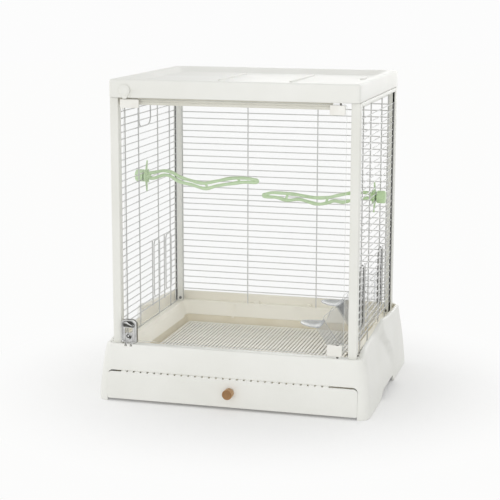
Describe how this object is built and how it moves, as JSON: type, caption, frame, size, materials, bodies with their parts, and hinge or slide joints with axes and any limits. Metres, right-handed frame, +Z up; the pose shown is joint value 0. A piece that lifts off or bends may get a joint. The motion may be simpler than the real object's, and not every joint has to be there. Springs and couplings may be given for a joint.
{
  "type": "bird breeding cage",
  "caption": "Bird breeding cage with wire sides and back, a clear hinged front door, sliding feeder hatches, perches, cups, and a pull-out drawer in a flared base.",
  "frame": {"origin": "on the floor at the middle of the cage's footprint, the drawer knob included", "axes": "+Z up, the door and drawer face -Y, +X to the right seen from the front"},
  "size_m": [0.447, 0.383, 0.518],
  "materials": {
    "white_shell": "satin moulded white plastic",
    "white_trim": "satin moulded white plastic",
    "white_wire": "white coated steel wire",
    "cream_plastic": "satin cream plastic",
    "steel": "plated steel",
    "chrome": "polished chrome plate",
    "green_plastic": "pale green moulded plastic",
    "clear_cup": "clear plastic with a faint grey-blue tint",
    "clear_sheet": "clear acrylic sheet",
    "wood": "turned wood, clear lacquer"
  },
  "bodies": {
    "cage": {"base": "white_shell", "floor_grid": "cream_plastic", "post_front_left": "white_shell", "post_front_right": "white_shell", "post_rear_left": "white_shell", "post_rear_right": "white_shell", "post_screw_front_left": "steel", "post_screw_front_right": "steel", "post_screw_rear_left": "steel", "post_screw_rear_right": "steel", "front_top_rail": "white_shell", "rear_top_rail": "white_shell", "left_top_rail": "white_shell", "right_top_rail": "white_shell", "top_cover": "white_shell", "left_panel": "white_wire", "right_panel": "white_wire", "back_panel": "white_wire", "treat_hook": "white_wire", "left_perch": "green_plastic", "right_perch": "green_plastic"},
    "drawer": {"drawer_tray": "cream_plastic", "drawer_front": "white_shell", "drawer_knob": "wood", "knob_screw": "steel"},
    "door": {"door_sheet": "clear_sheet", "hinge_block_upper": "white_trim", "hinge_block_lower": "white_trim", "hinge_pin_upper": "steel", "hinge_pin_lower": "steel", "door_clip": "white_trim", "latch_plate": "chrome"},
    "latch": {"latch_bolt": "chrome"},
    "button": {"turn_button": "white_trim"},
    "hatch_left_front": {"left_hatch_front": "white_wire"},
    "hatch_left_rear": {"left_hatch_rear": "white_wire"},
    "hatch_right_front": {"right_hatch_front": "white_wire"},
    "hatch_right_rear": {"right_hatch_rear": "white_wire"},
    "nut_left": {"left_perch_nut": "green_plastic"},
    "nut_right": {"right_perch_nut": "green_plastic"},
    "cup_front": {"feeder_cup_front": "clear_cup"},
    "cup_rear": {"feeder_cup_rear": "clear_cup"}
  },
  "joints": [
    {"name": "drawer_slide", "type": "slide", "parent": "cage", "child": "drawer", "axis": [0, -1, 0], "range_m": [0, 0.3]},
    {"name": "door_hinge", "type": "hinge", "parent": "cage", "child": "door", "pos_m": [0.17, -0.16025, 0.29], "axis": [0, 0, 1], "range_deg": [0, 110]},
    {"name": "latch_lift", "type": "slide", "parent": "door", "child": "latch", "axis": [0, 0, 1], "range_m": [0, 0.008]},
    {"name": "button_turn", "type": "hinge", "parent": "cage", "child": "button", "pos_m": [-0.173, -0.16, 0.501], "axis": [0, -1, 0], "range_deg": [-90, 90]},
    {"name": "hatch_left_front_lift", "type": "slide", "parent": "cage", "child": "hatch_left_front", "axis": [0, 0, 1], "range_m": [0, 0.09]},
    {"name": "hatch_left_rear_lift", "type": "slide", "parent": "cage", "child": "hatch_left_rear", "axis": [0, 0, 1], "range_m": [0, 0.09]},
    {"name": "hatch_right_front_lift", "type": "slide", "parent": "cage", "child": "hatch_right_front", "axis": [0, 0, 1], "range_m": [0, 0.09]},
    {"name": "hatch_right_rear_lift", "type": "slide", "parent": "cage", "child": "hatch_right_rear", "axis": [0, 0, 1], "range_m": [0, 0.09]},
    {"name": "nut_left_spin", "type": "hinge", "parent": "cage", "child": "nut_left", "pos_m": [-0.2046, -0.0075, 0.34513], "axis": [1, 0, 0], "continuous": true},
    {"name": "nut_right_spin", "type": "hinge", "parent": "cage", "child": "nut_right", "pos_m": [0.2046, 0.0115, 0.32262], "axis": [1, 0, 0], "continuous": true},
    {"name": "cup_front_lift", "type": "slide", "parent": "cage", "child": "cup_front", "axis": [0, 0, 1], "range_m": [0, 0.0065]},
    {"name": "cup_rear_lift", "type": "slide", "parent": "cage", "child": "cup_rear", "axis": [0, 0, 1], "range_m": [0, 0.0065]}
  ]
}
